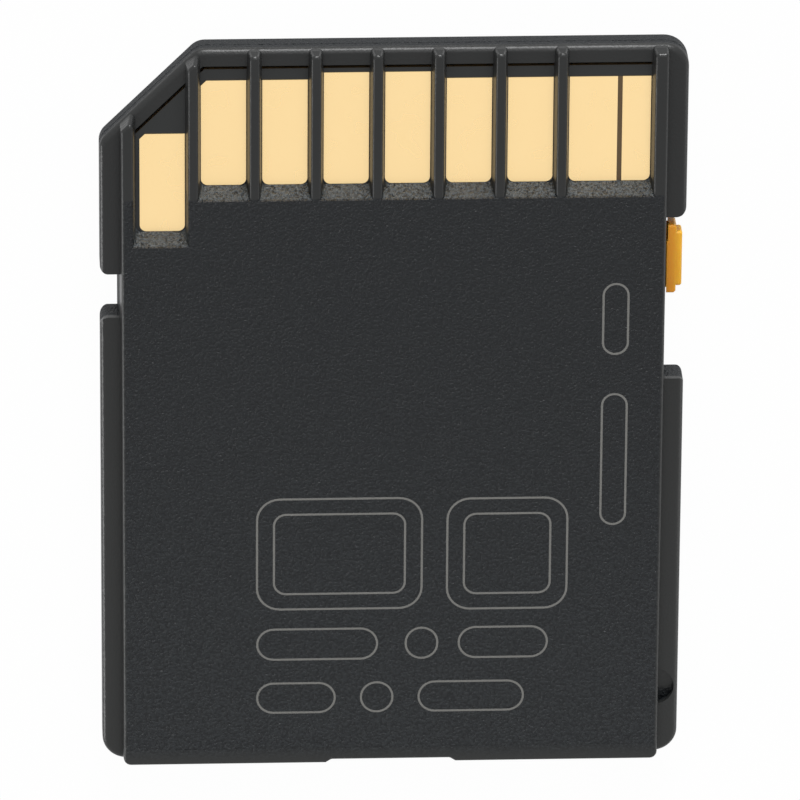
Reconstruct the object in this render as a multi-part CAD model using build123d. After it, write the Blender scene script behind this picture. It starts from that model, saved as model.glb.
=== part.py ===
from build123d import *
import math
import os

# Full-size memory card, lying on its label side with the contacts up.
# Millimetres. X across the card (slider side positive), Y to the contact end, Z up.
# The origin is the centre of the label side.

# Layers through the thickness, from the label side up
LABEL_DEPTH = 0.10
FRONT_WALL = 0.28
CHIP_GAP = 0.04
CHIP_HEIGHT = 0.58
BOARD_THICKNESS = 0.30
CONTACT_RECESS = 0.10
BACK_RISE = 0.70
BACK_WALL = 0.40
SEAM_HEIGHT = 0.84

# Outline
CARD_LENGTH = 32.0
CORNER_CUT = 4.0
CORNER_RADIUS = 1.0
CUT_RADIUS = 0.8
GUIDE_WIDTH = 0.83
GUIDE_ROUND = 0.25
FRONT_ROUND = 0.31
SEAM_BREAK = 0.05

# Raised back
BACK_DRAFT = 4.4
BACK_CORNER = 0.60
BACK_ROUND = 0.14
REAR_ROUND = 0.35

# Contacts, numbered from the row's cut-corner side, with number 9 set back beside it
PAD_PITCH = 2.5
PAD_SIDE_GAP = 0.02
PAD_THICKNESS = 0.03
PAD_SETBACK = 1.37
LONG_PAD_SETBACK = 1.07
LONG_PADS = (3, 4)
PAD_7_WIDTH = 1.96
PAD_8_WIDTH = 1.16
PAD_8_GAP = 0.20
PAD_9_WIDTH = 1.84
PAD_9_MARGIN = 0.16
PAD_9_SETBACK = 3.69
PAD_CORNER_CUT = 0.22
PAD_REAR_EASE = 0.10

# Channels and ribs over the contacts
RIB_BASE = 0.62
RIB_DRAFT = 8.0
NOSE_SETBACK = 0.04
NOSE_ROUND = 0.18
TIP_ROUND = 0.15
RIB_TOP_ROUND = 0.12
CHANNEL_LENGTH = 5.98
CHANNEL_9_LENGTH = 8.0
RAMP_ANGLE = 28.0
RAMP_CORNER = 0.18
RAMP_TOP_CORNER = 0.09
LEFT_STRIP = 0.65
RIGHT_STRIP = 0.69
SILL_DEPTH = 0.72
CUT_SILL_DEPTH = 0.66

# Notch, slider window, thumb notch and scoop in the edges
NOTCH_START = 9.88
NOTCH_LENGTH = 1.93
NOTCH_ROUND = 0.35
WINDOW_START = 7.63
WINDOW_LENGTH = 7.23
WINDOW_FRONT_ROUND = 0.45
WINDOW_REAR_ROUND = 0.22
THUMB_WIDTH = 5.5
THUMB_DEPTH = 0.19
THUMB_SLOPE = 0.30
SCOOP_RADIUS = 0.83
SCOOP_FROM_REAR = 3.05
SCOOP_INSET = 0.17
SCOOP_DEPTH = 0.40

# Write-protect slider, at rest near the front end of its window
SLIDER_END_GAP = 0.51
PLATE_LENGTH = 2.83
PLATE_HEIGHT = 0.95
PLATE_DEPTH = 0.31
RELIEF_LENGTH = 1.10
RELIEF_DEPTH = 0.10
GRIP_LENGTH = 2.42
GRIP_HEIGHT = 0.80
GRIP_DEPTH = 0.28
GRIP_ROUND = 0.10
SLIDER_LIFT = 0.13
NECK_HEIGHT = 0.34
RETAINER = 0.42
HEAD_DEPTH = 0.30
HEAD_HEIGHT = 0.66
SLIDE_CLEARANCE = 0.04
BAY_WALL = 0.28

# Circuit board and how it sits in the shells
BOARD_MARGIN = 0.20
BOARD_CLEARANCE = 0.16
REAR_WALL = 0.80
BOARD_LEDGE = 0.60
ROOF_MARGIN = 0.50
LIP_WIDTH = 0.30
LIP_HEIGHT = 0.12
LIP_CLEARANCE = 0.03
POST_RADIUS = 0.45
POST_INSET = 0.10
FRONT_POST_SETBACK = 5.0
MIDDLE_POST_SETBACK = 13.3
REAR_BAR_LENGTH = 10.0
REAR_BAR_WIDTH = 0.60

# Parts under the board
MEMORY_WIDTH = 18.0
MEMORY_LENGTH = 12.0
MEMORY_SETBACK = 15.0
CONTROLLER_SIZE = 6.5
CONTROLLER_X = -4.0
CONTROLLER_SETBACK = 5.8
CAPACITOR_SIZE = (0.5, 1.0, 0.50)
RESISTOR_SIZE = (0.5, 1.0, 0.35)
CHIP_PART_X = 1.2
CHIP_PART_PITCH = 1.3
CAPACITOR_SETBACK = 7.0
RESISTOR_SETBACK = 10.0
CAPACITORS = 4
RESISTORS = 6

# Recess for a label in the front shell
LABEL_SIDE_MARGIN = 1.6
LABEL_REAR_MARGIN = 1.6
LABEL_FRONT_MARGIN = 3.4
LABEL_CORNER = 0.8

# Overshoot of every cutting tool past the faces that it cuts
OVER = 1.0

# Heights
floor_z = LABEL_DEPTH + FRONT_WALL
board_z = floor_z + CHIP_GAP + CHIP_HEIGHT
pad_z = board_z + BOARD_THICKNESS
guide_z = pad_z + CONTACT_RECESS
top_z = guide_z + BACK_RISE
slider_z = guide_z / 2

# Places across the card, at the foot of the ribs
RIBS = 7
channel_width = PAD_PITCH - RIB_BASE
pad_width = channel_width - 2 * PAD_SIDE_GAP
channel_9_width = PAD_9_MARGIN + PAD_9_WIDTH + PAD_SIDE_GAP
channel_78_width = PAD_7_WIDTH + PAD_8_GAP + PAD_8_WIDTH + 2 * PAD_SIDE_GAP
field_width = channel_9_width + RIBS * RIB_BASE + (RIBS - 1) * channel_width + channel_78_width
back_half = (LEFT_STRIP + field_width + RIGHT_STRIP) / 2
card_half = back_half + GUIDE_WIDTH
field_left = LEFT_STRIP - back_half
field_right = field_left + field_width
first_rib_x = field_left + channel_9_width + RIB_BASE / 2

# Places along the card
front_y = CARD_LENGTH / 2
rear_y = -front_y
nose_y = front_y - NOSE_SETBACK
channel_end_y = front_y - CHANNEL_LENGTH
channel_9_end_y = front_y - CHANNEL_9_LENGTH
window_front_y = front_y - WINDOW_START
window_rear_y = window_front_y - WINDOW_LENGTH
notch_front_y = front_y - NOTCH_START
notch_rear_y = notch_front_y - NOTCH_LENGTH
slider_y = window_front_y - SLIDER_END_GAP - PLATE_LENGTH / 2


def wall_x(z):
    """Half width of the raised back's drafted side wall at a height."""
    return back_half + (guide_z - z) * math.tan(math.radians(BACK_DRAFT))


# Slider bay behind the window wall, and the inside that it leaves
pocket_outer_x = wall_x(slider_z) - RETAINER
pocket_inner_x = pocket_outer_x - HEAD_DEPTH - 2 * SLIDE_CLEARANCE
inside_left = field_left - BOARD_MARGIN - BOARD_CLEARANCE
inside_right = field_right + BOARD_MARGIN + BOARD_CLEARANCE
inside_bay_right = pocket_inner_x - BAY_WALL
inside_step_y = window_front_y + SLIDE_CLEARANCE + BAY_WALL
inside_front_y = front_y - SILL_DEPTH
inside_rear_y = rear_y + REAR_WALL
inside_cut = CUT_SILL_DEPTH


def block(x0, x1, y0, y1, z0, z1):
    """Box between two corners."""
    return Pos((x0 + x1) / 2, (y0 + y1) / 2, (z0 + z1) / 2) * Box(x1 - x0, y1 - y0, z1 - z0)


def upright(face, z0, z1):
    """Plan face raised between two heights."""
    return Pos(0, 0, z0) * extrude(face, amount=z1 - z0)


def cut_reach(inset):
    """Value of Y minus X along a line parallel to the cut corner."""
    return front_y + card_half - CORNER_CUT - inset * math.sqrt(2)


def cut_plan(left, right, rear, front, inset):
    """Rectangle with its front left corner cut parallel to the card's cut corner."""
    reach = cut_reach(inset)
    return Polygon(
        (left, rear), (right, rear), (right, front),
        (front - reach, front), (left, left + reach), align=None
    )


def card_plan():
    """Outline of the card, with its square corners and cut corner rounded."""
    plan = cut_plan(-card_half, card_half, rear_y, front_y, 0)
    rear = plan.vertices().group_by(Axis.Y)[0]
    front = plan.vertices().sort_by(Axis.X)[-2:].sort_by(Axis.Y)[-1:]
    plan = fillet(rear + front, CORNER_RADIUS)
    cut = plan.vertices().sort_by_distance((-card_half, front_y))[:2]
    return fillet(cut, CUT_RADIUS)


def inside_plan(shrink):
    """Outline of the space inside the shells, stepped in beside the slider bay."""
    reach = cut_reach(inside_cut + shrink)
    left = inside_left + shrink
    right = inside_right - shrink
    bay_right = inside_bay_right - shrink
    rear = inside_rear_y + shrink
    step = inside_step_y + shrink
    front = inside_front_y - shrink
    return Polygon(
        (left, rear), (bay_right, rear), (bay_right, step), (right, step), (right, front),
        (front - reach, front), (left, left + reach), align=None
    )


def edge_opening(side, front, rear, front_round, rear_round):
    """Cut through a guide edge: drafted inner wall, and outer corners of the guide rounded."""
    edge = card_half
    deep = wall_x(top_z) - OVER
    flare = Polyline(
        (deep, rear), (deep, front), (edge - front_round, front)
    )
    front_arc = RadiusArc((edge - front_round, front), (edge, front + front_round), -front_round)
    outside = Polyline(
        (edge, front + front_round), (edge + OVER, front + front_round),
        (edge + OVER, rear - rear_round), (edge, rear - rear_round)
    )
    rear_arc = RadiusArc((edge, rear - rear_round), (edge - rear_round, rear), -rear_round)
    close = Line((edge - rear_round, rear), (deep, rear))
    plan = make_face([*flare.edges(), front_arc, *outside.edges(), rear_arc, close])
    low = -OVER
    beyond = Plane.XZ * Polygon(
        (wall_x(low), low), (edge + 2 * OVER, low), (edge + 2 * OVER, guide_z + OVER),
        (wall_x(guide_z + OVER), guide_z + OVER), align=None
    )
    wedge = Pos(0, front + OVER, 0) * extrude(beyond, amount=front - rear + 2 * OVER)
    opening = upright(plan, low, guide_z + OVER) & wedge
    return opening if side > 0 else mirror(opening, about=Plane.YZ)


def edge_cuts():
    """All cuts through the card's edges that both shells share."""
    notch = edge_opening(-1, notch_front_y, notch_rear_y, NOTCH_ROUND, NOTCH_ROUND)
    window = edge_opening(1, window_front_y, window_rear_y, WINDOW_FRONT_ROUND, WINDOW_REAR_ROUND)
    outer = THUMB_WIDTH / 2
    thumb = Polygon(
        (-outer - THUMB_SLOPE, rear_y - THUMB_DEPTH), (outer + THUMB_SLOPE, rear_y - THUMB_DEPTH),
        (outer - THUMB_SLOPE, rear_y + THUMB_DEPTH), (THUMB_SLOPE - outer, rear_y + THUMB_DEPTH), align=None
    )
    return [notch, window, upright(thumb, -OVER, top_z + OVER)]


def slider_bay():
    """Slot for the slider's neck and pocket for its head, open to both shells."""
    slot_half = NECK_HEIGHT / 2 + SLIDE_CLEARANCE
    head_half = HEAD_HEIGHT / 2 + SLIDE_CLEARANCE
    slot = block(
        pocket_outer_x - SLIDE_CLEARANCE, wall_x(0) + OVER, window_rear_y, window_front_y,
        slider_z - slot_half, slider_z + slot_half
    )
    pocket = block(
        pocket_inner_x, pocket_outer_x, window_rear_y, window_front_y,
        slider_z - head_half, slider_z + head_half
    )
    return [slot, pocket]


def channel(left, right, end_y):
    """Space over one group of contacts: drafted sides, sloped end, open at the front."""
    low = board_z
    high = top_z + OVER
    side_run = (high - pad_z) * math.tan(math.radians(RIB_DRAFT))
    end_run = (high - pad_z) * math.tan(math.radians(RAMP_ANGLE))
    across = Plane.XZ * Polygon(
        (left, low), (right, low), (right, pad_z), (right + side_run, high),
        (left - side_run, high), (left, pad_z), align=None
    )
    along = Plane.YZ * Polygon(
        (end_y, low), (front_y + OVER, low), (front_y + OVER, high),
        (end_y - end_run, high), (end_y, pad_z), align=None
    )
    lengthwise = Pos(0, front_y + 2 * OVER, 0) * extrude(across, amount=CARD_LENGTH)
    crosswise = Pos(-2 * card_half, 0, 0) * extrude(along, amount=4 * card_half)
    return lengthwise & crosswise


def contact_field():
    """All channels as one cut, without the ribs, meeting inside the first rib."""
    set_back = channel(field_left, first_rib_x, channel_9_end_y)
    row = channel(first_rib_x - RIB_BASE / 4, field_right, channel_end_y)
    return set_back + row


def rib_plan(x, end_y, z):
    """Outline of a rib at a height: drafted flanks, and a nose at the front or along the cut corner."""
    shrink = (z - pad_z) * math.tan(math.radians(RIB_DRAFT))
    left = x - RIB_BASE / 2 + shrink
    right = x + RIB_BASE / 2 - shrink
    tail = end_y - BACK_RISE
    reach = cut_reach(NOSE_SETBACK + shrink)
    left_y = min(nose_y, left + reach)
    right_y = min(nose_y, right + reach)
    plan = Polygon((left, tail), (right, tail), (right, right_y), (left, left_y), align=None)
    plan = fillet(plan.vertices().sort_by_distance((left, left_y))[:1], NOSE_ROUND)
    tip_round = TIP_ROUND if left_y < right_y else NOSE_ROUND
    plan = fillet(plan.vertices().sort_by_distance((right, right_y))[:1], tip_round)
    return Pos(0, 0, z) * plan


def rib(x, end_y):
    """Rib between two contacts, standing on the board and the sill, with a rounded top edge."""
    body = loft([rib_plan(x, end_y, guide_z - GUIDE_ROUND), rib_plan(x, end_y, top_z)], ruled=True)
    return fillet(body.faces().sort_by(Axis.Z)[-1].edges(), RIB_TOP_ROUND)


def ribs():
    """The row of ribs, the first one beside the set-back contact."""
    row = [rib(first_rib_x, channel_9_end_y)]
    for i in range(1, RIBS):
        row.append(rib(first_rib_x + i * PAD_PITCH, channel_end_y))
    return row


def corner_web(x, end_y, side):
    """Web that softens the corner between a channel's side wall and its sloped end."""
    spread = math.tan(math.radians(RIB_DRAFT))
    slope = math.tan(math.radians(RAMP_ANGLE))
    sections = []
    for z, leg in ((pad_z, RAMP_CORNER), (top_z - BACK_ROUND, RAMP_TOP_CORNER)):
        corner_x = x + side * (z - pad_z) * spread
        corner_y = end_y - (z - pad_z) * slope
        root = leg / 2
        hollow = leg / 3
        outer = Polyline(
            (corner_x - side * leg, corner_y), (corner_x - side * leg, corner_y - root),
            (corner_x + side * root, corner_y - root), (corner_x + side * root, corner_y + leg),
            (corner_x, corner_y + leg)
        )
        arc = ThreePointArc(
            (corner_x, corner_y + leg), (corner_x - side * hollow, corner_y + hollow),
            (corner_x - side * leg, corner_y)
        )
        sections.append(Pos(0, 0, z) * make_face([*outer.edges(), arc]))
    return loft(sections, ruled=True)


def corner_webs():
    """Webs in both end corners of every channel."""
    webs = [corner_web(field_left, channel_9_end_y, -1)]
    webs.append(corner_web(first_rib_x - RIB_BASE / 2, channel_9_end_y, 1))
    webs.append(corner_web(field_right, channel_end_y, 1))
    for i in range(RIBS):
        rib_x = first_rib_x + i * PAD_PITCH
        webs.append(corner_web(rib_x + RIB_BASE / 2, channel_end_y, -1))
        if i > 0:
            webs.append(corner_web(rib_x - RIB_BASE / 2, channel_end_y, 1))
    return webs


def on_channel_end(edge):
    """True for a top edge of the raised back that borders the sloped end of a channel."""
    spot = edge.center()
    return abs(spot.X) < field_right and channel_9_end_y - BACK_RISE < spot.Y < channel_end_y


def raised_back(field):
    """Thick middle of the back shell round the contact field, drafted, with rounded noses and edges."""
    foot_z = guide_z - GUIDE_ROUND
    plan = cut_plan(-wall_x(foot_z), wall_x(foot_z), rear_y, nose_y, NOSE_SETBACK)
    plan = fillet(plan.vertices().group_by(Axis.Y)[0], BACK_CORNER)
    front = plan.vertices().sort_by_distance((back_half, nose_y))[:1]
    cut = plan.vertices().sort_by_distance((-card_half, front_y))[:2]
    plan = fillet(front + cut, NOSE_ROUND)
    crown = Pos(0, 0, foot_z) * extrude(plan, amount=top_z - foot_z, taper=BACK_DRAFT) - field
    left_nose_y = field_left + cut_reach(NOSE_SETBACK)
    right_nose = crown.edges().sort_by_distance((field_right, nose_y, guide_z))[:1]
    crown = fillet(right_nose, NOSE_ROUND)
    left_nose = crown.edges().sort_by_distance((field_left, left_nose_y, guide_z))[:1]
    crown = fillet(left_nose, TIP_ROUND)
    rim = crown.faces().sort_by(Axis.Z)[-1].edges().filter_by(lambda edge: not on_channel_end(edge))
    crown = fillet(rim, BACK_ROUND)
    rear = rear_y + (top_z - foot_z - REAR_ROUND) * math.tan(math.radians(BACK_DRAFT))
    corner = block(-card_half, card_half, rear - OVER, rear + REAR_ROUND, top_z - REAR_ROUND, top_z + OVER)
    roller = Rot(0, 90, 0) * Cylinder(REAR_ROUND, 2 * card_half)
    roller = Pos(0, rear + REAR_ROUND, top_z - REAR_ROUND) * roller
    return crown - (corner - roller)


def scoop():
    """Half-moon dip in the guide ledge near the rear, its floor falling to the rear."""
    y = rear_y + SCOOP_FROM_REAR
    fall = Plane.YZ * Polygon(
        (y + SCOOP_RADIUS, guide_z), (y + SCOOP_RADIUS, guide_z + OVER),
        (y - SCOOP_RADIUS - OVER, guide_z + OVER), (y - SCOOP_RADIUS, guide_z - SCOOP_DEPTH), align=None
    )
    wedge = Pos(back_half, 0, 0) * extrude(fall, amount=GUIDE_WIDTH)
    drum = Pos(back_half - SCOOP_INSET, y, guide_z) * Cylinder(SCOOP_RADIUS, 2 * OVER)
    return wedge & drum


def back_shell():
    """Contact-side shell: guide ledges, raised back with channels and ribs, hollow inside."""
    plate = upright(card_plan(), SEAM_HEIGHT, guide_z)
    plate = fillet(plate.faces().sort_by(Axis.Z)[-1].edges(), GUIDE_ROUND)
    plate = chamfer(plate.faces().sort_by(Axis.Z)[0].edges(), SEAM_BREAK)
    field = contact_field()
    sill_line = cut_plan(-2 * card_half, 2 * card_half, -CARD_LENGTH, front_y - SILL_DEPTH, CUT_SILL_DEPTH)
    window = field & upright(sill_line, 0, top_z + OVER)
    shell = (plate - window) + raised_back(field)
    shell = shell + ribs() + corner_webs()
    seat = upright(inside_plan(0), SEAM_HEIGHT - OVER, pad_z)
    roof_front = channel_9_end_y - BACK_RISE - ROOF_MARGIN
    roof = block(
        inside_left + BOARD_LEDGE, inside_bay_right - BOARD_LEDGE, inside_rear_y + BOARD_LEDGE, roof_front,
        pad_z - CONTACT_RECESS, top_z - BACK_WALL
    )
    return shell - [seat, roof, scoop(), *edge_cuts(), *slider_bay()]


def front_shell():
    """Label-side shell: shallow tray with a locating lip, board supports and a label recess."""
    plate = upright(card_plan(), 0, SEAM_HEIGHT)
    plate = fillet(plate.faces().sort_by(Axis.Z)[0].edges(), FRONT_ROUND)
    plate = chamfer(plate.faces().sort_by(Axis.Z)[-1].edges(), SEAM_BREAK)
    tray = inside_plan(LIP_CLEARANCE + LIP_WIDTH)
    lip = upright(inside_plan(LIP_CLEARANCE), floor_z, SEAM_HEIGHT + LIP_HEIGHT)
    label = cut_plan(
        LABEL_SIDE_MARGIN - card_half, card_half - LABEL_SIDE_MARGIN, rear_y + LABEL_REAR_MARGIN,
        front_y - LABEL_FRONT_MARGIN, LABEL_SIDE_MARGIN
    )
    label = fillet(label.vertices(), LABEL_CORNER)
    shell = plate + lip
    shell = shell - [upright(tray, floor_z, board_z), upright(label, -OVER, LABEL_DEPTH)]
    shell = shell - [*edge_cuts(), *slider_bay()]
    return shell + board_supports()


def board_supports():
    """Posts and a rear bar that hold the board against the back shell."""
    reach = LIP_CLEARANCE + LIP_WIDTH + POST_INSET + POST_RADIUS
    spots = [
        (inside_left + reach, front_y - FRONT_POST_SETBACK),
        (inside_right - reach, front_y - FRONT_POST_SETBACK),
        (inside_left + reach, front_y - MIDDLE_POST_SETBACK),
        (inside_bay_right - reach, front_y - MIDDLE_POST_SETBACK),
    ]
    height = board_z - floor_z
    supports = []
    for x, y in spots:
        supports.append(Pos(x, y, floor_z + height / 2) * Cylinder(POST_RADIUS, height))
    bar_y = inside_rear_y + LIP_CLEARANCE + LIP_WIDTH
    supports.append(
        block(-REAR_BAR_LENGTH / 2, REAR_BAR_LENGTH / 2, bar_y, bar_y + REAR_BAR_WIDTH, floor_z, board_z)
    )
    return supports


def circuit_board():
    """Board that fills the inside of the shells, with its contact end at the sill."""
    return upright(inside_plan(BOARD_CLEARANCE), board_z, pad_z)


def contact(number):
    """Gold contact finger on the board, its rear corners rounded clear of the channel's webs."""
    end = channel_end_y
    setback = LONG_PAD_SETBACK if number in LONG_PADS else PAD_SETBACK
    width = pad_width
    left = first_rib_x + (number - 1) * PAD_PITCH + RIB_BASE / 2 + PAD_SIDE_GAP
    if number == 7:
        width = PAD_7_WIDTH
    if number == 8:
        width = PAD_8_WIDTH
        left = field_right - PAD_SIDE_GAP - PAD_8_WIDTH
    if number == 9:
        width = PAD_9_WIDTH
        left = field_left + PAD_9_MARGIN
        setback = PAD_9_SETBACK
        end = channel_9_end_y
    right = left + width
    front = front_y - setback
    plan = Polygon((left, end), (right, end), (right, front), (left, front), align=None)
    beside_wall = plan.vertices().group_by(Axis.Y)[0].sort_by(Axis.X)
    if number == 7:
        beside_wall = beside_wall[:1]
    if number == 8:
        beside_wall = beside_wall[1:]
    plan = fillet(beside_wall, RAMP_CORNER + PAD_REAR_EASE)
    if number in (1, 9):
        plan = chamfer(plan.vertices().sort_by_distance((left, front))[:1], PAD_CORNER_CUT)
    return upright(plan, pad_z, pad_z + PAD_THICKNESS)


def slider():
    """Write-protect slider: grip and plate outside, neck through the slot, head behind it."""
    outer_z = slider_z + SLIDER_LIFT
    low = outer_z - PLATE_HEIGHT / 2
    high = outer_z + PLATE_HEIGHT / 2
    front = slider_y + PLATE_LENGTH / 2
    rear = slider_y - PLATE_LENGTH / 2
    plate_inner = wall_x(slider_z) + SLIDE_CLEARANCE
    plate_outer = plate_inner + PLATE_DEPTH
    section = Plane.XZ * Polygon(
        (wall_x(low) + SLIDE_CLEARANCE, low), (plate_outer, low), (plate_outer, high),
        (wall_x(high) + SLIDE_CLEARANCE, high), align=None
    )
    plate = Pos(0, front, 0) * extrude(section, amount=PLATE_LENGTH)
    plate = fillet(plate.edges().filter_by(Axis.X), GRIP_ROUND)
    relief = block(
        plate_inner - OVER, plate_inner + RELIEF_DEPTH, front - RELIEF_LENGTH, front + OVER,
        slider_z + NECK_HEIGHT / 2, high + OVER
    )
    grip = block(
        plate_outer, plate_outer + GRIP_DEPTH, slider_y - GRIP_LENGTH / 2, slider_y + GRIP_LENGTH / 2,
        outer_z - GRIP_HEIGHT / 2, outer_z + GRIP_HEIGHT / 2
    )
    grip = fillet(grip.faces().sort_by(Axis.X)[-1].edges(), GRIP_ROUND)
    head_inner = pocket_inner_x + SLIDE_CLEARANCE
    neck = block(
        head_inner, plate_outer, rear, front,
        slider_z - NECK_HEIGHT / 2, slider_z + NECK_HEIGHT / 2
    )
    head = block(
        head_inner, pocket_outer_x - SLIDE_CLEARANCE, rear, front,
        slider_z - HEAD_HEIGHT / 2, slider_z + HEAD_HEIGHT / 2
    )
    return (plate - relief) + grip + neck + head


def memory_chip():
    """Flash package under the board."""
    x = (inside_left + inside_bay_right) / 2
    y = front_y - MEMORY_SETBACK - MEMORY_LENGTH / 2
    return Pos(x, y, board_z - CHIP_HEIGHT / 2) * Box(MEMORY_WIDTH, MEMORY_LENGTH, CHIP_HEIGHT)


def controller_chip():
    """Controller package under the board."""
    y = front_y - CONTROLLER_SETBACK - CONTROLLER_SIZE / 2
    package = Box(CONTROLLER_SIZE, CONTROLLER_SIZE, CHIP_HEIGHT)
    return Pos(CONTROLLER_X, y, board_z - CHIP_HEIGHT / 2) * package


def chip_part(size, index, setback):
    """Small ceramic part in a row under the board."""
    x = CHIP_PART_X + index * CHIP_PART_PITCH
    return Pos(x, front_y - setback, board_z - size[2] / 2) * Box(*size)


def all_parts():
    """Every piece of the card by name."""
    parts = {
        "back_shell": back_shell(),
        "front_shell": front_shell(),
        "write_protect_slider": slider(),
        "circuit_board": circuit_board(),
        "memory_chip": memory_chip(),
        "controller_chip": controller_chip(),
    }
    for number in range(1, 10):
        parts[f"contact_{number}"] = contact(number)
    for i in range(CAPACITORS):
        parts[f"capacitor_{i + 1}"] = chip_part(CAPACITOR_SIZE, i, CAPACITOR_SETBACK)
    for i in range(RESISTORS):
        parts[f"resistor_{i + 1}"] = chip_part(RESISTOR_SIZE, i, RESISTOR_SETBACK)
    return parts


os.makedirs("parts", exist_ok=True)
for name, shape in all_parts().items():
    export_step(shape, f"parts/{name}.step")
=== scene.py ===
import math

import bmesh
import bpy
from mathutils import Euler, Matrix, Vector


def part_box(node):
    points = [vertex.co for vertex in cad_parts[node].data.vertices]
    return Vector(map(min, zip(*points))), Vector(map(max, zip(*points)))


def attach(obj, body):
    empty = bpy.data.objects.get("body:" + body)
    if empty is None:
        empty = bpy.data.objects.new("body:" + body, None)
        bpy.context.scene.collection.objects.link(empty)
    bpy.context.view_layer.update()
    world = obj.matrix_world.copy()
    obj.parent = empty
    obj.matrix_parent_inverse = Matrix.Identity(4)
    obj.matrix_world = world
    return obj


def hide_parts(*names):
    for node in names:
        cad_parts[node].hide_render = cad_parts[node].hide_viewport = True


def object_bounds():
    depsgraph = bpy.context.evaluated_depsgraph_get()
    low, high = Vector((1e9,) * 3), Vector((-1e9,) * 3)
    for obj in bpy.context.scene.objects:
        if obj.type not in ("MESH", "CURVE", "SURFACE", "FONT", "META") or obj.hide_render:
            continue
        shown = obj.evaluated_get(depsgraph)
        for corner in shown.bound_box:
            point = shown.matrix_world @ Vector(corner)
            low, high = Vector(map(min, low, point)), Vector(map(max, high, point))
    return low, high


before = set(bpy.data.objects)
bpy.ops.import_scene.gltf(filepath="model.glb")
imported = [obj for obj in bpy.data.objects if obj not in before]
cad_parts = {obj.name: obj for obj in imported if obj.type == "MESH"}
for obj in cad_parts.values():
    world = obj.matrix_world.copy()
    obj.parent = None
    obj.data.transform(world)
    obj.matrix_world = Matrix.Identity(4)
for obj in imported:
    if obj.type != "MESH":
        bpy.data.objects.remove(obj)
cad_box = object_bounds()

# Memory card on a white table, contacts up. Metres; MM turns a size in millimetres into metres.
MM = 0.001

# Camera: turn of the card in the view, its place in the picture and its distance
VIEW_TURN = (24.5301, 2.4576, 0.7179)
VIEW_OFFSET = (-0.3827 * MM, 0.2857 * MM)
VIEW_DISTANCE = 436.90 * MM
SENSOR = 36.0
LENS = 476.18

# Light: radiance of the room and of each soft box, placed round the card
ROOM_LIGHT = 0.55
LAMP_DISTANCE = 1.2
KEY = {"azimuth": 4.0, "elevation": 13.0, "size": 0.60, "radiance": 18.5}
FILL = {"azimuth": 12.0, "elevation": 58.0, "size": 0.50, "radiance": 3.0}
LEFT = {"azimuth": -112.0, "elevation": 10.0, "size": 0.50, "radiance": 7.0}
RIGHT = {"azimuth": 112.0, "elevation": 10.0, "size": 0.50, "radiance": 1.5}
FLOOR_SIZE = 6.0
FLOOR_DROP = 0.01 * MM
FLOOR_TONE = 0.70
SHADOW_SHARE = 0.025

# Places that the frame gives
shell_low, shell_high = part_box("back_shell")
slider_low, slider_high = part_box("write_protect_slider")
top_z = shell_high.z
rear_y = shell_low.y
board_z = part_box("circuit_board")[1].z
ramp_foot_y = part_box("contact_2")[0].y
RAMP_SLOPE = math.tan(math.radians(28.0))

# Drafted side wall of the raised back, above and inside the guide ledges
GUIDE_WIDTH = 0.83 * MM
GUIDE_STEP = 0.10 * MM
BACK_SLOPE = math.tan(math.radians(4.4))
guide_z = board_z + GUIDE_STEP
back_half = shell_high.x - GUIDE_WIDTH

# Rear rim of the raised back: a crisp edge on both sides of the thumb notch
RIM_WIDTH = 0.75 * MM
RIM_FOOT = 0.25 * MM
RIM_LEAN = 0.03 * MM
RIM_ROUND = 0.12 * MM
RIM_CORNER = 0.30 * MM
RIM_SKIN = 0.003 * MM
THUMB_HALF = 2.75 * MM
THUMB_SLOPE = 0.30 * MM
THUMB_DEPTH = 0.19 * MM

# Slider: plate against the wall with a small relief, grip outside it, neck and head in the slot
PLATE_FRONT_REACH = 0.13 * MM
PLATE_REAR_REACH = 0.09 * MM
PLATE_ROUND = 0.10 * MM
PLATE_BREAK = 0.08 * MM
SLIDE_CLEARANCE = 0.04 * MM
RELIEF_LENGTH = 0.74 * MM
RELIEF_DEPTH = 0.04 * MM
GRIP_DEPTH = 0.25 * MM
GRIP_LENGTH = 2.44 * MM
GRIP_HEIGHT = 0.80 * MM
GRIP_ROUND = 0.10 * MM
GRIP_CORNER = 0.12 * MM
NECK_HEIGHT = 0.34 * MM
HEAD_DEPTH = 0.30 * MM
HEAD_HEIGHT = 0.66 * MM

# Meshes: steps over a rounded edge and round a corner, points that are one, and angle of a crisp edge
ROUND_STEPS = 5
CORNER_STEPS = 8
SAME_POINT = 0.00001 * MM
SHARP_ANGLE = 30.0

# Etched outlines on the raised back: left, rear, right and front edge of each, and its corner radius
MARK_WIDTH = 0.09 * MM
MARK_RISE = 0.004 * MM
MARK_SINK = 0.004 * MM
MARKS = (
    (-5.63, -8.88, 1.28, -3.76, 1.00),
    (-4.93, -8.18, 0.58, -4.46, 0.55),
    (2.24, -8.95, 7.29, -3.82, 1.00),
    (2.94, -8.25, 6.59, -4.52, 0.55),
    (-5.62, -11.19, -0.55, -9.71, 0.74),
    (0.55, -11.19, 1.95, -9.71, 0.70),
    (2.75, -11.19, 6.51, -9.71, 0.74),
    (-5.62, -13.64, -2.30, -12.20, 0.72),
    (-1.30, -13.64, 0.10, -12.20, 0.70),
    (1.10, -13.64, 5.54, -12.20, 0.72),
    (8.56, 2.55, 9.67, 5.78, 0.555),
    (8.56, -5.16, 9.67, 0.83, 0.555),
)

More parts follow.
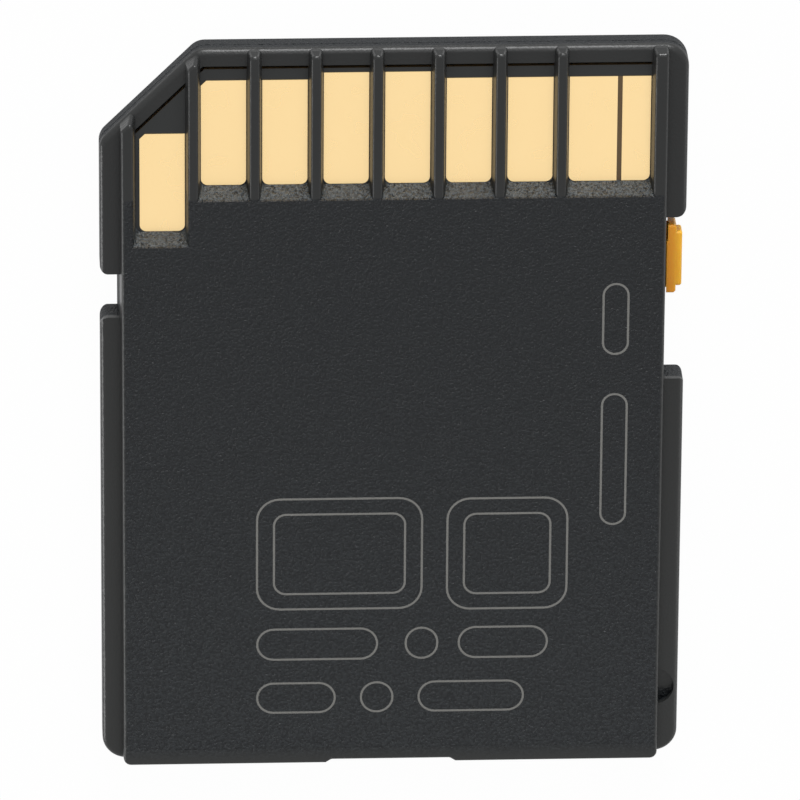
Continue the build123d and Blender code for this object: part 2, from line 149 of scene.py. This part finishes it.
# Spark-eroded grain of the shells: on the raised back inside its sides, and on the skirt below a height
GRAIN_SIDE = 11.02 * MM
GRAIN_REAR_FADE = 0.95 * MM
GRAIN_SIZE = 0.115 * MM
GRAIN_HEIGHT = 0.117 * MM
GRAIN_FADE = 0.05 * MM
SKIRT_HEIGHT = 1.15 * MM
TOP_GRAIN = 0.95
SMOOTH_GRAIN = 0.14
TOP_SPECKLE = 0.085
FLOW_SIZE = 0.03 * MM
FLOW_HEIGHT = 0.0012 * MM
SHELL_CLOUD = 6.0 * MM

# Wear and painted light of the shells: painted lighter towards the rear end, smoother on the ribs' noses
# and on the left edge
REAR_LIGHT_SPECKLE = 0.27
RUB_START = 0.35 * MM
RUB_FULL = 0.20 * MM
NOSE_EDGE = (0.25, 0.45)
NOSE_FACE = (0.90, 0.98)

# Lumps of the other noises, and how high they stand where they are felt
GOLD_CLOUD = 1.2 * MM
SLIDER_CLOUD = 0.8 * MM
SLIDER_FLOW = 0.04 * MM
SLIDER_FLOW_HEIGHT = 0.002 * MM
BOARD_CLOUD = 2.5 * MM
BOARD_WEAVE = 0.12 * MM
BOARD_WEAVE_HEIGHT = 0.002 * MM
PACKAGE_GRAIN = 0.10 * MM
PACKAGE_GRAIN_HEIGHT = 0.006 * MM
CHIP_GRAIN = 0.06 * MM
ETCHED_GRAIN = 0.06 * MM
ETCHED_GRAIN_HEIGHT = 0.006 * MM

# Gloss and light under the surface
SHELL_SPECULAR = 0.285
SLIDER_SPECULAR = 0.25
BOARD_SPECULAR = 0.42
ETCHED_SPECULAR = 0.3
SLIDER_GLOW = 0.6
SLIDER_GLOW_DEPTH = 0.25 * MM
SLIDER_GLOW_REACH = (1.0, 0.8, 0.5)

# Roughness: one number, or a least and a greatest that a noise spreads over
SATIN_ROUGHNESS = (0.33, 0.41)
ERODED_ROUGHNESS = (0.38, 0.50)
SKIRT_ROUGHNESS = 0.60
RUBBED_ROUGHNESS = 0.25
NOSE_ROUGHNESS = 0.80
GOLD_ROUGHNESS = (0.27, 0.29)
SLIDER_ROUGHNESS = (0.36, 0.46)
BOARD_ROUGHNESS = (0.34, 0.44)
PACKAGE_ROUGHNESS = (0.55, 0.70)
CHIP_ROUGHNESS = (0.35, 0.50)
ETCHED_ROUGHNESS = (0.55, 0.75)
FLOOR_ROUGHNESS = 0.9

# Colours: two that a noise mixes
# Grain speckle: its dark end is the grain's tone; its pale end is painted glints of the front lamp on the
# channel slopes and painted light towards the rear end
PITTED_AND_GLINTS = ((0.0000, 0.0010, 0.0022), (0.0460, 0.0530, 0.0570))
# Moulded colour: plain at the front, painted lighter (painted light) towards the rear end
MOULDED_PLAIN = ((0.0125, 0.0131, 0.0131), (0.0155, 0.0161, 0.0161))
MOULDED_PAINTED_LIGHT = ((0.0195, 0.0204, 0.0200), (0.0225, 0.0234, 0.0230))
GOLD = ((0.962, 0.708, 0.358), (0.977, 0.732, 0.381))
# Orange of the slider: darker and deeper at the card's wall as painted shade, plain at the grip
ORANGE_PAINTED_SHADE = ((0.650, 0.262, 0.017), (0.690, 0.285, 0.021))
ORANGE_PLAIN = ((0.705, 0.370, 0.026), (0.745, 0.398, 0.032))
SOLDER_MASK = ((0.0050, 0.0062, 0.0062), (0.0075, 0.0088, 0.0086))
LAMINATE = ((0.075, 0.044, 0.016), (0.095, 0.058, 0.022))
PACKAGE = ((0.012, 0.012, 0.013), (0.022, 0.022, 0.023))
CERAMIC = ((0.24, 0.15, 0.09), (0.34, 0.22, 0.13))
GLAZE = ((0.010, 0.010, 0.011), (0.020, 0.020, 0.022))
TIN = ((0.55, 0.55, 0.54), (0.68, 0.67, 0.65))
ETCHED = ((0.105, 0.104, 0.098), (0.190, 0.188, 0.178))

# Board: a sharp border round its bare laminate, which also shows on the faces that stand upright
BARE_BORDER = 0.01 * MM
UPRIGHT = (0.2, 0.6)

# Chip parts: share of the length from the middle to the end caps, and the border of a cap
CAP_START = 0.30
CAP_BORDER = 0.02 * MM

# Most of a noise lies between these two values
NOISE_LOW = 0.3
NOISE_HIGH = 0.7


class Material:
    """Node material with one principled shader and short ways to add nodes to it."""

    def __init__(self, name):
        self.material = bpy.data.materials.new(name)
        self.material.use_nodes = True
        self.nodes = self.material.node_tree.nodes
        self.links = self.material.node_tree.links
        self.shader = self.nodes["Principled BSDF"]
        self.place = self.node("ShaderNodeTexCoord").outputs["Object"]

    def node(self, kind, **settings):
        """New node with its settings."""
        made = self.nodes.new(kind)
        for key, value in settings.items():
            setattr(made, key, value)
        return made

    def feed(self, socket, value):
        """Link an output to an input, or set the input's own value."""
        if isinstance(value, bpy.types.NodeSocket):
            self.links.new(value, socket)
        else:
            socket.default_value = value

    def set(self, **values):
        """Set shader inputs by name, with underscores for spaces."""
        for key, value in values.items():
            self.feed(self.shader.inputs[key.replace("_", " ")], value)

    def math(self, operation, first, second=0.0):
        """Result of a math node."""
        made = self.node("ShaderNodeMath", operation=operation)
        self.feed(made.inputs[0], first)
        self.feed(made.inputs[1], second)
        return made.outputs[0]

    def axes(self):
        """X, Y and Z of the object's own place."""
        made = self.node("ShaderNodeSeparateXYZ")
        self.links.new(self.place, made.inputs[0])
        return made.outputs

    def facing(self):
        """X, Y and Z of the direction that the surface faces."""
        made = self.node("ShaderNodeSeparateXYZ")
        self.links.new(self.node("ShaderNodeNewGeometry").outputs["Normal"], made.inputs[0])
        return made.outputs

    def ramp(self, value, start, end, low=0.0, high=1.0):
        """Value mapped smoothly from the range start to end onto low to high."""
        made = self.node("ShaderNodeMapRange", interpolation_type="SMOOTHSTEP")
        self.feed(made.inputs["Value"], value)
        made.inputs["From Min"].default_value = start
        made.inputs["From Max"].default_value = end
        made.inputs["To Min"].default_value = low
        made.inputs["To Max"].default_value = high
        return made.outputs["Result"]

    def noise(self, size, detail=2.0):
        """Noise whose lumps are about the given size."""
        made = self.node("ShaderNodeTexNoise")
        self.links.new(self.place, made.inputs["Vector"])
        made.inputs["Scale"].default_value = 1.0 / size
        made.inputs["Detail"].default_value = detail
        return made.outputs["Fac"]

    def spread(self, noise, low=0.0, high=1.0):
        """Noise stretched out over the range from low to high."""
        return self.ramp(noise, NOISE_LOW, NOISE_HIGH, low, high)

    def mix(self, share, first, second):
        """Colour between two colours, each written out or from a node."""
        made = self.node("ShaderNodeMix", data_type="RGBA")
        self.feed(made.inputs["Factor"], share)
        for socket, colour in ((made.inputs[6], first), (made.inputs[7], second)):
            self.feed(socket, (*colour, 1.0) if isinstance(colour, tuple) else colour)
        return made.outputs[2]

    def between(self, share, first, second):
        """Number between two numbers."""
        made = self.node("ShaderNodeMix", data_type="FLOAT")
        self.feed(made.inputs["Factor"], share)
        self.feed(made.inputs[2], first)
        self.feed(made.inputs[3], second)
        return made.outputs[0]

    def bump(self, height, distance, strength=1.0, under=None):
        """Normal bumped by a height, over another bump if one is given."""
        made = self.node("ShaderNodeBump")
        self.feed(made.inputs["Height"], height)
        self.feed(made.inputs["Strength"], strength)
        made.inputs["Distance"].default_value = distance
        if under:
            self.links.new(under, made.inputs["Normal"])
        return made.outputs["Normal"]


def shell_zones(made):
    """Shares of the shells' surface: the eroded back, the sloped part of that, and the eroded skirt."""
    x, y, z = made.axes()
    fade = GRAIN_FADE
    ramp_line = ramp_foot_y + board_z * RAMP_SLOPE
    along = made.math("ADD", y, made.math("MULTIPLY", z, RAMP_SLOPE))
    front = made.ramp(along, ramp_line + fade, ramp_line + 2 * fade, 1.0, 0.0)
    rear = made.ramp(y, rear_y, rear_y + GRAIN_REAR_FADE)
    side = made.ramp(made.math("ABSOLUTE", x), GRAIN_SIDE - fade, GRAIN_SIDE + fade, 1.0, 0.0)
    back = made.math("MULTIPLY", made.math("MULTIPLY", front, rear), side)
    slope = made.math("MULTIPLY", back, made.ramp(z, top_z - 2 * fade, top_z - fade, 1.0, 0.0))
    skirt = made.ramp(z, SKIRT_HEIGHT - fade, SKIRT_HEIGHT + fade, 1.0, 0.0)
    return back, slope, skirt


def shell_wear_and_painted_light(made):
    """Shares of the shells' surface: rear end painted lighter as painted light, rubbed edges, and front
    faces of the ribs' noses.
    """
    x, y, z = made.axes()
    # Painted light: a share that grows towards the rear end, where colour and speckle are painted lighter
    painted_rear_light = made.ramp(y, shell_high.y, shell_low.y)
    raised = made.ramp(z, guide_z + GRAIN_FADE, guide_z + 3 * GRAIN_FADE)
    frontal = made.facing()[1]
    nose_edge = made.math("MULTIPLY", raised, made.ramp(frontal, *NOSE_EDGE))
    left_edge = made.ramp(x, shell_low.x + RUB_START, shell_low.x + RUB_FULL)
    nose_face = made.math("MULTIPLY", raised, made.ramp(frontal, *NOSE_FACE))
    return painted_rear_light, made.math("MAXIMUM", nose_edge, left_edge), nose_face


def shell_material():
    """Black moulded plastic: eroded grain on the raised back and the skirt, satin elsewhere, painted
    lighter towards the rear end.
    """
    made = Material("shell_black")
    back, slope, skirt = shell_zones(made)
    painted_rear_light, rubbed, nose_face = shell_wear_and_painted_light(made)
    eroded = made.math("MAXIMUM", back, skirt)
    grain = made.noise(GRAIN_SIZE)
    fine = made.noise(FLOW_SIZE)
    cloud = made.noise(SHELL_CLOUD, detail=3.0)
    # Painted light: speckle and moulded colour painted lighter towards the rear end
    rear_lit_speckle = made.between(made.math("MULTIPLY", painted_rear_light, painted_rear_light), TOP_SPECKLE, REAR_LIGHT_SPECKLE)
    # Grain speckle, at full strength on the channel slopes: partly grain, partly painted glints of the
    # front lamp
    speckle_and_glints = made.math("MULTIPLY", made.spread(grain), made.between(slope, rear_lit_speckle, 1.0))
    moulded = made.mix(painted_rear_light, made.mix(cloud, *MOULDED_PLAIN), made.mix(cloud, *MOULDED_PAINTED_LIGHT))
    made.set(Base_Color=made.mix(eroded, moulded, made.mix(speckle_and_glints, *PITTED_AND_GLINTS)))
    made.set(Specular_IOR_Level=SHELL_SPECULAR)
    satin = made.between(rubbed, made.spread(fine, *SATIN_ROUGHNESS), RUBBED_ROUGHNESS)
    satin = made.between(nose_face, satin, NOSE_ROUGHNESS)
    rough = made.between(skirt, made.spread(grain, *ERODED_ROUGHNESS), SKIRT_ROUGHNESS)
    made.set(Roughness=made.between(eroded, satin, rough))
    depth = made.between(eroded, SMOOTH_GRAIN, made.between(slope, TOP_GRAIN, 1.0))
    flow = made.bump(fine, FLOW_HEIGHT)
    made.set(Normal=made.bump(grain, GRAIN_HEIGHT, depth, under=flow))
    return made.material


def gold_material():
    """Hard gold plate with a faint cloud in its colour and polish."""
    made = Material("contact_gold")
    cloud = made.noise(GOLD_CLOUD)
    made.set(Base_Color=made.mix(cloud, *GOLD))
    made.set(Metallic=1.0, Roughness=made.spread(cloud, *GOLD_ROUGHNESS))
    return made.material


def slider_material():
    """Orange moulded plastic with a faint flow pattern, with painted shade: darker and deeper in colour
    at the wall.
    """
    made = Material("slider_orange")
    cloud = made.noise(SLIDER_CLOUD, detail=3.0)
    fine = made.noise(SLIDER_FLOW)
    # Painted shade: the orange darkens and deepens from the grip in towards the card's wall
    outward = made.ramp(made.axes()[0], slider_high.x - 2 * GRIP_DEPTH, slider_high.x - GRIP_DEPTH / 4)
    shaded_orange = made.mix(cloud, *ORANGE_PAINTED_SHADE)
    open_orange = made.mix(cloud, *ORANGE_PLAIN)
    made.set(Base_Color=made.mix(outward, shaded_orange, open_orange))
    made.set(Roughness=made.spread(fine, *SLIDER_ROUGHNESS), Specular_IOR_Level=SLIDER_SPECULAR)
    made.set(Subsurface_Weight=SLIDER_GLOW, Subsurface_Scale=SLIDER_GLOW_DEPTH)
    made.set(Subsurface_Radius=SLIDER_GLOW_REACH)
    made.set(Normal=made.bump(fine, SLIDER_FLOW_HEIGHT))
    return made.material


def board_material():
    """Dark solder mask over a woven board, left bare on its edges and between the last two contacts."""
    made = Material("board_dark")
    weave = made.noise(BOARD_WEAVE)
    cloud = made.noise(BOARD_CLOUD)
    x, y, _ = made.axes()
    left_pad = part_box("contact_7")[1]
    right_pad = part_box("contact_8")[0]
    half = (right_pad.x - left_pad.x) / 2
    away = made.math("ABSOLUTE", made.math("SUBTRACT", x, left_pad.x + half))
    bare = made.ramp(away, half, half + BARE_BORDER, 1.0, 0.0)
    bare = made.math("MULTIPLY", bare, made.ramp(y, left_pad.y - BARE_BORDER, left_pad.y, 1.0, 0.0))
    upright = made.ramp(made.math("ABSOLUTE", made.facing()[2]), *UPRIGHT, 1.0, 0.0)
    bare = made.math("MAXIMUM", bare, upright)
    made.set(Base_Color=made.mix(bare, made.mix(cloud, *SOLDER_MASK), made.mix(weave, *LAMINATE)))
    made.set(Roughness=made.spread(weave, *BOARD_ROUGHNESS), Specular_IOR_Level=BOARD_SPECULAR)
    made.set(Normal=made.bump(weave, BOARD_WEAVE_HEIGHT))
    return made.material


def package_material():
    """Matt black chip package with the grain of its mould."""
    made = Material("package_black")
    grain = made.noise(PACKAGE_GRAIN, detail=3.0)
    made.set(Base_Color=made.mix(grain, *PACKAGE))
    made.set(Roughness=made.spread(grain, *PACKAGE_ROUGHNESS))
    made.set(Normal=made.bump(grain, PACKAGE_GRAIN_HEIGHT))
    return made.material


def chip_part_material(name, node, body_colours):
    """Ceramic chip part: coloured body between tinned end caps."""
    made = Material(name)
    low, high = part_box(node)
    y = made.axes()[1]
    middle = (low.y + high.y) / 2
    cap_start = (high.y - low.y) * CAP_START
    away = made.math("ABSOLUTE", made.math("SUBTRACT", y, middle))
    cap = made.ramp(away, cap_start, cap_start + CAP_BORDER)
    grain = made.noise(CHIP_GRAIN)
    body = made.mix(grain, *body_colours)
    made.set(Base_Color=made.mix(cap, body, made.mix(grain, *TIN)), Metallic=cap)
    made.set(Roughness=made.spread(grain, *CHIP_ROUGHNESS))
    return made.material


def etched_material():
    """Plastic turned pale and dull by a laser."""
    made = Material("etched_grey")
    grain = made.noise(ETCHED_GRAIN)
    made.set(Base_Color=made.mix(grain, *ETCHED))
    made.set(Roughness=made.spread(grain, *ETCHED_ROUGHNESS), Specular_IOR_Level=ETCHED_SPECULAR)
    made.set(Normal=made.bump(grain, ETCHED_GRAIN_HEIGHT))
    return made.material


def rounded_loop(left, rear, right, front, radius):
    """Points in a plane, round a rectangle with rounded corners."""
    centres = (
        (right - radius, front - radius), (left + radius, front - radius),
        (left + radius, rear + radius), (right - radius, rear + radius),
    )
    points = []
    for quarter, (x, y) in enumerate(centres):
        for step in range(CORNER_STEPS + 1):
            angle = math.pi / 2 * (quarter + step / CORNER_STEPS)
            points.append((x + radius * math.cos(angle), y + radius * math.sin(angle)))
    return points


def rounding(radius):
    """Steps over a rounded edge, from its wall to its end: rise above the wall and inset from it."""
    angles = [math.pi / 2 * step / ROUND_STEPS for step in range(ROUND_STEPS + 1)]
    return [(radius * math.sin(angle), radius * (1 - math.cos(angle))) for angle in angles]


def add_stack(points, faces, loops):
    """Add a closed skin through loops that lie one above the other, with both ends capped."""
    count = len(loops[0])
    first = len(points)
    for loop in loops:
        points.extend(loop)
    faces.append([first + i for i in reversed(range(count))])
    for level in range(len(loops) - 1):
        here = first + level * count
        there = here + count
        for i in range(count):
            j = (i + 1) % count
            faces.append((here + i, here + j, there + j, there + i))
    faces.append([len(points) - count + i for i in range(count)])


def piece(name, points, faces, material, body):
    """Smooth piece that rides on a body, with repeated points merged."""
    mesh = bpy.data.meshes.new(name)
    mesh.from_pydata(points, [], faces)
    work = bmesh.new()
    work.from_mesh(mesh)
    bmesh.ops.remove_doubles(work, verts=work.verts, dist=SAME_POINT)
    work.to_mesh(mesh)
    work.free()
    mesh.shade_smooth()
    mesh.set_sharp_from_angle(angle=math.radians(SHARP_ANGLE))
    mesh.materials.append(material)
    made = bpy.data.objects.new(name, mesh)
    bpy.context.scene.collection.objects.link(made)
    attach(made, body)
    return made


def etched_marks():
    """Thin closed ribbons round plain rounded shapes on the raised back."""
    points = []
    faces = []
    heights = (top_z - MARK_SINK, top_z + MARK_RISE)
    for left, rear, right, front, radius in MARKS:
        edges = [value * MM for value in (left, rear, right, front)]
        shrink = (MARK_WIDTH, MARK_WIDTH, -MARK_WIDTH, -MARK_WIDTH)
        inner_edges = [edge + step for edge, step in zip(edges, shrink)]
        outer = rounded_loop(*edges, radius * MM)
        inner = rounded_loop(*inner_edges, radius * MM - MARK_WIDTH)
        rings = [(outer, heights[0]), (outer, heights[1]), (inner, heights[1]), (inner, heights[0])]
        count = len(outer)
        first = len(points)
        for loop, z in rings:
            points.extend((x, y, z) for x, y in loop)
        for ring in range(len(rings)):
            here = first + ring * count
            there = first + (ring + 1) % len(rings) * count
            for i in range(count):
                j = (i + 1) % count
                faces.append((here + i, here + j, there + j, there + i))
    piece("etched_marks", points, faces, etched_material(), "card")


def wall_x(z):
    """Half width of the raised back's drafted side wall at a height."""
    return back_half + (guide_z - z) * BACK_SLOPE


def rim_loop(z, lean, inset):
    """Outline of the rear rim at a height, drawn in by an inset, with the thumb notch in its rear."""
    side = wall_x(z) + RIM_SKIN - inset
    rear = rear_y - RIM_SKIN + lean + inset
    floor_y = rear_y + THUMB_DEPTH - RIM_SKIN + inset
    run = THUMB_SLOPE / THUMB_DEPTH
    slant = inset * math.hypot(1, run)
    corner = RIM_CORNER - inset
    half = [(THUMB_HALF - (floor_y - rear_y) * run + slant, floor_y)]
    half.append((THUMB_HALF - (rear - rear_y) * run + slant, rear))
    for step in range(ROUND_STEPS + 1):
        angle = math.pi / 2 * step / ROUND_STEPS
        x = side - corner + corner * math.sin(angle)
        half.append((x, rear + corner - corner * math.cos(angle)))
    half.append((side, rear_y + RIM_WIDTH))
    loop = half + [(-x, y) for x, y in reversed(half)]
    return [(x, y, z) for x, y in loop]


def rear_rim(material):
    """Crisp rear edge of the raised back, cut by the thumb notch."""
    loops = [rim_loop(guide_z - RIM_FOOT, 0.0, 0.0)]
    for rise, inset in rounding(RIM_ROUND):
        loops.append(rim_loop(top_z + RIM_SKIN - RIM_ROUND + rise, RIM_LEAN, inset))
    points = []
    faces = []
    add_stack(points, faces, loops)
    piece("rear_rim", points, faces, material, "card")


def plate_loop(z, inset, relieved):
    """Outline of the slider's plate at a height, with or without the relief in its inner front corner."""
    inner = wall_x(z) + SLIDE_CLEARANCE
    outer = slider_high.x - GRIP_DEPTH
    front = slider_high.y + PLATE_FRONT_REACH - inset
    rear = slider_low.y - PLATE_REAR_REACH + inset
    end = slider_high.y + PLATE_FRONT_REACH - RELIEF_LENGTH
    step = inner + RELIEF_DEPTH
    loop = [(inner, rear), (outer - PLATE_BREAK, rear), (outer, rear + PLATE_BREAK)]
    loop += [(outer, front - PLATE_BREAK), (outer - PLATE_BREAK, front), (step, front)]
    loop += [(step, end), (inner, end)] if relieved else [(inner, front), (inner, end)]
    return [(x, y, z) for x, y in loop]


def slider_plate(points, faces, relief_z):
    """Plate along the card's wall, rounded at its front and rear edges and relieved above a height."""
    edge = rounding(PLATE_ROUND)
    loops = []
    for rise, inset in reversed(edge):
        loops.append(plate_loop(slider_low.z + PLATE_ROUND - rise, inset, False))
    loops.append(plate_loop(relief_z, 0.0, False))
    loops.append(plate_loop(relief_z, 0.0, True))
    for rise, inset in edge:
        loops.append(plate_loop(slider_high.z - PLATE_ROUND + rise, inset, True))
    add_stack(points, faces, loops)


def slider_grip(points, faces):
    """Rounded grip on the outside of the plate."""
    middle_y = (slider_low.y + slider_high.y) / 2
    middle_z = (slider_low.z + slider_high.z) / 2
    wall = slider_high.x - GRIP_ROUND
    levels = [(slider_high.x - GRIP_DEPTH - SLIDE_CLEARANCE, 0.0)]
    levels += [(wall + rise, inset) for rise, inset in rounding(GRIP_ROUND)]
    loops = []
    for x, inset in levels:
        long = GRIP_LENGTH / 2 - inset
        high = GRIP_HEIGHT / 2 - inset
        edges = (middle_y - long, middle_z - high, middle_y + long, middle_z + high)
        loops.append([(x, y, z) for y, z in rounded_loop(*edges, GRIP_CORNER - inset)])
    add_stack(points, faces, loops)


def slider_bar(points, faces, left, right, middle_z, height):
    """Straight bar as long as the slider's solid."""
    rear, front = slider_low.y, slider_high.y
    corners = ((left, rear), (right, rear), (right, front), (left, front))
    heights = (middle_z - height / 2, middle_z + height / 2)
    add_stack(points, faces, [[(x, y, z) for x, y in corners] for z in heights])


def slider(material):
    """Write-protect slider: plate and grip outside, neck through the slot, head behind it."""
    points = []
    faces = []
    neck_z = guide_z / 2
    slider_plate(points, faces, neck_z + NECK_HEIGHT / 2)
    slider_grip(points, faces)
    slider_bar(points, faces, slider_low.x, wall_x(neck_z) + 2 * SLIDE_CLEARANCE, neck_z, NECK_HEIGHT)
    slider_bar(points, faces, slider_low.x, slider_low.x + HEAD_DEPTH, neck_z, HEAD_HEIGHT)
    made = piece("slider", points, faces, material, "slider")
    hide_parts("write_protect_slider")


def dress(prefix, material):
    """Give a material to every CAD node whose name starts with the prefix."""
    for name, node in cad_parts.items():
        if name.startswith(prefix):
            node.data.materials.clear()
            node.data.materials.append(material)


def dress_all(shell, orange):
    """Materials of every CAD node."""
    dress("back_shell", shell)
    dress("front_shell", shell)
    dress("contact_", gold_material())
    dress("write_protect_slider", orange)
    dress("circuit_board", board_material())
    package = package_material()
    dress("memory_chip", package)
    dress("controller_chip", package)
    dress("capacitor_", chip_part_material("capacitor_ceramic", "capacitor_1", CERAMIC))
    dress("resistor_", chip_part_material("resistor_body", "resistor_1", GLAZE))


def seen_white(tree):
    """One for a ray that shows the white surroundings: from the camera, mirrored or let through."""
    path = tree.nodes.new("ShaderNodeLightPath")
    seen = path.outputs["Is Camera Ray"]
    for kind in ("Is Glossy Ray", "Is Transmission Ray"):
        either = tree.nodes.new("ShaderNodeMath")
        either.operation = "MAXIMUM"
        tree.links.new(seen, either.inputs[0])
        tree.links.new(path.outputs[kind], either.inputs[1])
        seen = either.outputs[0]
    return seen


def floor():
    """White table that keeps the card's soft shadow."""
    mesh = bpy.data.meshes.new("floor")
    half = FLOOR_SIZE / 2
    drop = cad_box[0].z - FLOOR_DROP
    corners = [(-half, -half, drop), (half, -half, drop), (half, half, drop), (-half, half, drop)]
    mesh.from_pydata(corners, [], [(0, 1, 2, 3)])
    made = bpy.data.objects.new("floor", mesh)
    bpy.context.scene.collection.objects.link(made)
    paint = Material("floor_white")
    paint.set(Base_Color=(FLOOR_TONE, FLOOR_TONE, FLOOR_TONE, 1.0), Roughness=FLOOR_ROUGHNESS)
    seen = paint.math("MULTIPLY", seen_white(paint.material.node_tree), 1.0 - SHADOW_SHARE)
    glow = paint.node("ShaderNodeEmission")
    mix = paint.node("ShaderNodeMixShader")
    paint.feed(mix.inputs[0], seen)
    paint.links.new(paint.shader.outputs[0], mix.inputs[1])
    paint.links.new(glow.outputs[0], mix.inputs[2])
    clear = paint.node("ShaderNodeBsdfTransparent")
    side = paint.node("ShaderNodeMixShader")
    paint.links.new(paint.node("ShaderNodeNewGeometry").outputs["Backfacing"], side.inputs[0])
    paint.links.new(mix.outputs[0], side.inputs[1])
    paint.links.new(clear.outputs[0], side.inputs[2])
    paint.links.new(side.outputs[0], paint.nodes["Material Output"].inputs["Surface"])
    mesh.materials.append(paint.material)


def room():
    """Even white surroundings, white where they are seen."""
    world = bpy.data.worlds.new("room")
    world.use_nodes = True
    bpy.context.scene.world = world
    nodes = world.node_tree.nodes
    links = world.node_tree.links
    level = nodes.new("ShaderNodeMapRange")
    level.inputs["To Min"].default_value = ROOM_LIGHT
    level.inputs["To Max"].default_value = 1.0
    links.new(seen_white(world.node_tree), level.inputs["Value"])
    links.new(level.outputs["Result"], nodes["Background"].inputs["Strength"])
    nodes["Background"].inputs["Color"].default_value = (1.0, 1.0, 1.0, 1.0)


def soft_box(name, azimuth, elevation, size, radiance):
    """Square lamp that faces the card. Azimuth 0 is the contact end, 90 the slider side."""
    lamp = bpy.data.lights.new(name, "AREA")
    lamp.size = size
    lamp.energy = radiance * math.pi * size * size
    made = bpy.data.objects.new(name, lamp)
    bpy.context.scene.collection.objects.link(made)
    a = math.radians(azimuth)
    e = math.radians(elevation)
    away = Vector((math.sin(a) * math.cos(e), math.cos(a) * math.cos(e), math.sin(e)))
    made.location = away * LAMP_DISTANCE
    made.rotation_euler = away.to_track_quat("Z", "Y").to_euler()
    made.visible_camera = False


def camera():
    """Camera nearly overhead, leaning over the contact end."""
    data = bpy.data.cameras.new("camera")
    data.sensor_width = SENSOR
    data.lens = LENS
    made = bpy.data.objects.new("camera", data)
    bpy.context.scene.collection.objects.link(made)
    turn = Euler([math.radians(angle) for angle in VIEW_TURN]).to_matrix().transposed()
    shift = Vector((*VIEW_OFFSET, -VIEW_DISTANCE))
    made.matrix_world = turn.to_4x4()
    made.location = -(turn @ shift)
    bpy.context.scene.camera = made


shell_black = shell_material()
slider_orange = slider_material()
dress_all(shell_black, slider_orange)
rear_rim(shell_black)
slider(slider_orange)
etched_marks()
floor()
room()
soft_box("key", **KEY)
soft_box("fill", **FILL)
soft_box("left", **LEFT)
soft_box("right", **RIGHT)
camera()
bpy.context.scene.view_settings.view_transform = "Standard"
